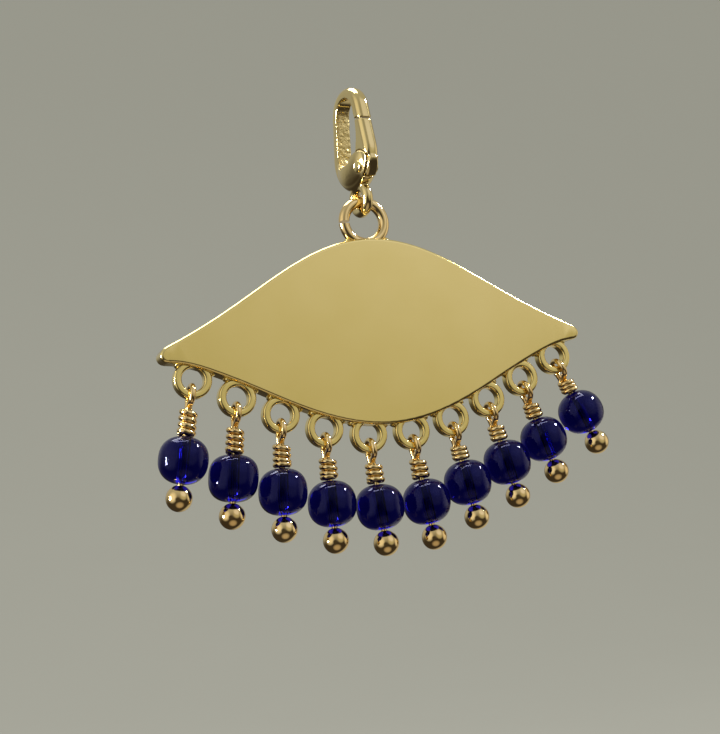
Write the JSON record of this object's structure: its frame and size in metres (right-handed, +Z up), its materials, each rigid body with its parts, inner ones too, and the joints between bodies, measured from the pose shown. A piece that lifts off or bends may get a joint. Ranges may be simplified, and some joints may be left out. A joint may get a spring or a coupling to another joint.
{
  "type": "evil eye ornament",
  "caption": "Gold eye-shaped hanging charm with an enamelled front, a flat back and a lobster clasp on top; wire-wrapped pins with dark blue glass beads swing from rings on its lower edge.",
  "frame": {"origin": "inside of the clasp hook's crown, where the ornament hangs", "axes": "+Z up, the eye's length along X, the enamelled front faces -Y and the flat back faces +Y"},
  "size_m": [0.0373, 0.0055, 0.0369],
  "materials": {
    "gold_cast": "polished gold plate",
    "gold_wire": "polished gold plate",
    "cobalt_glass": "glossy transparent",
    "white_enamel": "glossy enamel",
    "dark_blue_enamel": "glossy enamel",
    "light_blue_enamel": "glossy enamel",
    "black_enamel": "glossy enamel",
    "spring_steel": "bright"
  },
  "bodies": {
    "clasp": {"clasp_body": "gold_cast", "lever_pin": "gold_wire", "lever_spring": "spring_steel"},
    "gate": {"clasp_lever": "gold_cast"},
    "charm": {"eye_plate": "gold_cast", "top_ring": "gold_wire", "sclera_enamel": "white_enamel", "iris_enamel": "dark_blue_enamel", "inner_iris_enamel": "light_blue_enamel", "pupil_enamel": "black_enamel"},
    "pin_01": {"head_pin_01": "gold_wire"},
    "bead_01": {"glass_bead_01": "cobalt_glass"},
    "pin_02": {"head_pin_02": "gold_wire"},
    "bead_02": {"glass_bead_02": "cobalt_glass"},
    "pin_03": {"head_pin_03": "gold_wire"},
    "bead_03": {"glass_bead_03": "cobalt_glass"},
    "pin_04": {"head_pin_04": "gold_wire"},
    "bead_04": {"glass_bead_04": "cobalt_glass"},
    "pin_05": {"head_pin_05": "gold_wire"},
    "bead_05": {"glass_bead_05": "cobalt_glass"},
    "pin_06": {"head_pin_06": "gold_wire"},
    "bead_06": {"glass_bead_06": "cobalt_glass"},
    "pin_07": {"head_pin_07": "gold_wire"},
    "bead_07": {"glass_bead_07": "cobalt_glass"},
    "pin_08": {"head_pin_08": "gold_wire"},
    "bead_08": {"glass_bead_08": "cobalt_glass"},
    "pin_09": {"head_pin_09": "gold_wire"},
    "bead_09": {"glass_bead_09": "cobalt_glass"},
    "pin_10": {"head_pin_10": "gold_wire"},
    "bead_10": {"glass_bead_10": "cobalt_glass"}
  },
  "joints": [
    {"name": "gate_swing", "type": "hinge", "parent": "clasp", "child": "gate", "pos_m": [-0.00019, 0.00134, -0.00595], "axis": [0.9903, 0.1392, 0], "range_deg": [0, 26], "stiffness_Nm_per_rad": 0.0002, "springref_deg": -20.05, "deforming": ["lever_spring"]},
    {"name": "charm_swing", "type": "hinge", "parent": "clasp", "child": "charm", "pos_m": [0, 0, -0.00838], "axis": [1, 0, 0], "range_deg": [-75, 75]},
    {"name": "pin_01_swing", "type": "hinge", "parent": "charm", "child": "pin_01", "pos_m": [0.01537, 0, -0.02277], "axis": [0.977, 0, 0.213], "range_deg": [-45, 45]},
    {"name": "bead_01_spin", "type": "hinge", "parent": "pin_01", "child": "bead_01", "pos_m": [0.0164, 0, -0.02746], "axis": [-0.213, 0, 0.977], "continuous": true},
    {"name": "pin_02_swing", "type": "hinge", "parent": "charm", "child": "pin_02", "pos_m": [0.01208, 0, -0.02436], "axis": [0.989, 0, 0.1478], "range_deg": [-45, 45]},
    {"name": "bead_02_spin", "type": "hinge", "parent": "pin_02", "child": "bead_02", "pos_m": [0.01279, 0, -0.0291], "axis": [-0.1478, 0, 0.989], "continuous": true},
    {"name": "pin_03_swing", "type": "hinge", "parent": "charm", "child": "pin_03", "pos_m": [0.00875, 0, -0.02586], "axis": [0.9969, 0, 0.0785], "range_deg": [-45, 45]},
    {"name": "bead_03_spin", "type": "hinge", "parent": "pin_03", "child": "bead_03", "pos_m": [0.00911, 0, -0.03044], "axis": [-0.0785, 0, 0.9969], "continuous": true},
    {"name": "pin_04_swing", "type": "hinge", "parent": "charm", "child": "pin_04", "pos_m": [0.00532, 0, -0.02718], "axis": [0.9999, 0, 0.0122], "range_deg": [-45, 45]},
    {"name": "bead_04_spin", "type": "hinge", "parent": "pin_04", "child": "bead_04", "pos_m": [0.00538, 0, -0.03168], "axis": [-0.0122, 0, 0.9999], "continuous": true},
    {"name": "pin_05_swing", "type": "hinge", "parent": "charm", "child": "pin_05", "pos_m": [0.00174, 0, -0.0279], "axis": [0.9988, 0, -0.0488], "range_deg": [-45, 45]},
    {"name": "bead_05_spin", "type": "hinge", "parent": "pin_05", "child": "bead_05", "pos_m": [0.00153, 0, -0.03229], "axis": [0.0488, 0, 0.9988], "continuous": true},
    {"name": "pin_06_swing", "type": "hinge", "parent": "charm", "child": "pin_06", "pos_m": [-0.00192, 0, -0.02789], "axis": [0.9949, 0, -0.1011], "range_deg": [-45, 45]},
    {"name": "bead_06_spin", "type": "hinge", "parent": "pin_06", "child": "bead_06", "pos_m": [-0.00236, 0, -0.03227], "axis": [0.1011, 0, 0.9949], "continuous": true},
    {"name": "pin_07_swing", "type": "hinge", "parent": "charm", "child": "pin_07", "pos_m": [-0.00548, 0, -0.02717], "axis": [0.9893, 0, -0.1461], "range_deg": [-45, 45]},
    {"name": "bead_07_spin", "type": "hinge", "parent": "pin_07", "child": "bead_07", "pos_m": [-0.00606, 0, -0.03112], "axis": [0.1461, 0, 0.9893], "continuous": true},
    {"name": "pin_08_swing", "type": "hinge", "parent": "charm", "child": "pin_08", "pos_m": [-0.0089, 0, -0.02584], "axis": [0.9789, 0, -0.2045], "range_deg": [-45, 45]},
    {"name": "bead_08_spin", "type": "hinge", "parent": "pin_08", "child": "bead_08", "pos_m": [-0.00973, 0, -0.02985], "axis": [0.2045, 0, 0.9789], "continuous": true},
    {"name": "pin_09_swing", "type": "hinge", "parent": "charm", "child": "pin_09", "pos_m": [-0.01222, 0, -0.02433], "axis": [0.9632, 0, -0.2689], "range_deg": [-45, 45]},
    {"name": "bead_09_spin", "type": "hinge", "parent": "pin_09", "child": "bead_09", "pos_m": [-0.01332, 0, -0.02828], "axis": [0.2689, 0, 0.9632], "continuous": true},
    {"name": "pin_10_swing", "type": "hinge", "parent": "charm", "child": "pin_10", "pos_m": [-0.01557, 0, -0.02271], "axis": [0.9225, 0, -0.3859], "range_deg": [-45, 45]},
    {"name": "bead_10_spin", "type": "hinge", "parent": "pin_10", "child": "bead_10", "pos_m": [-0.0171, 0, -0.02635], "axis": [0.3859, 0, 0.9225], "continuous": true}
  ]
}
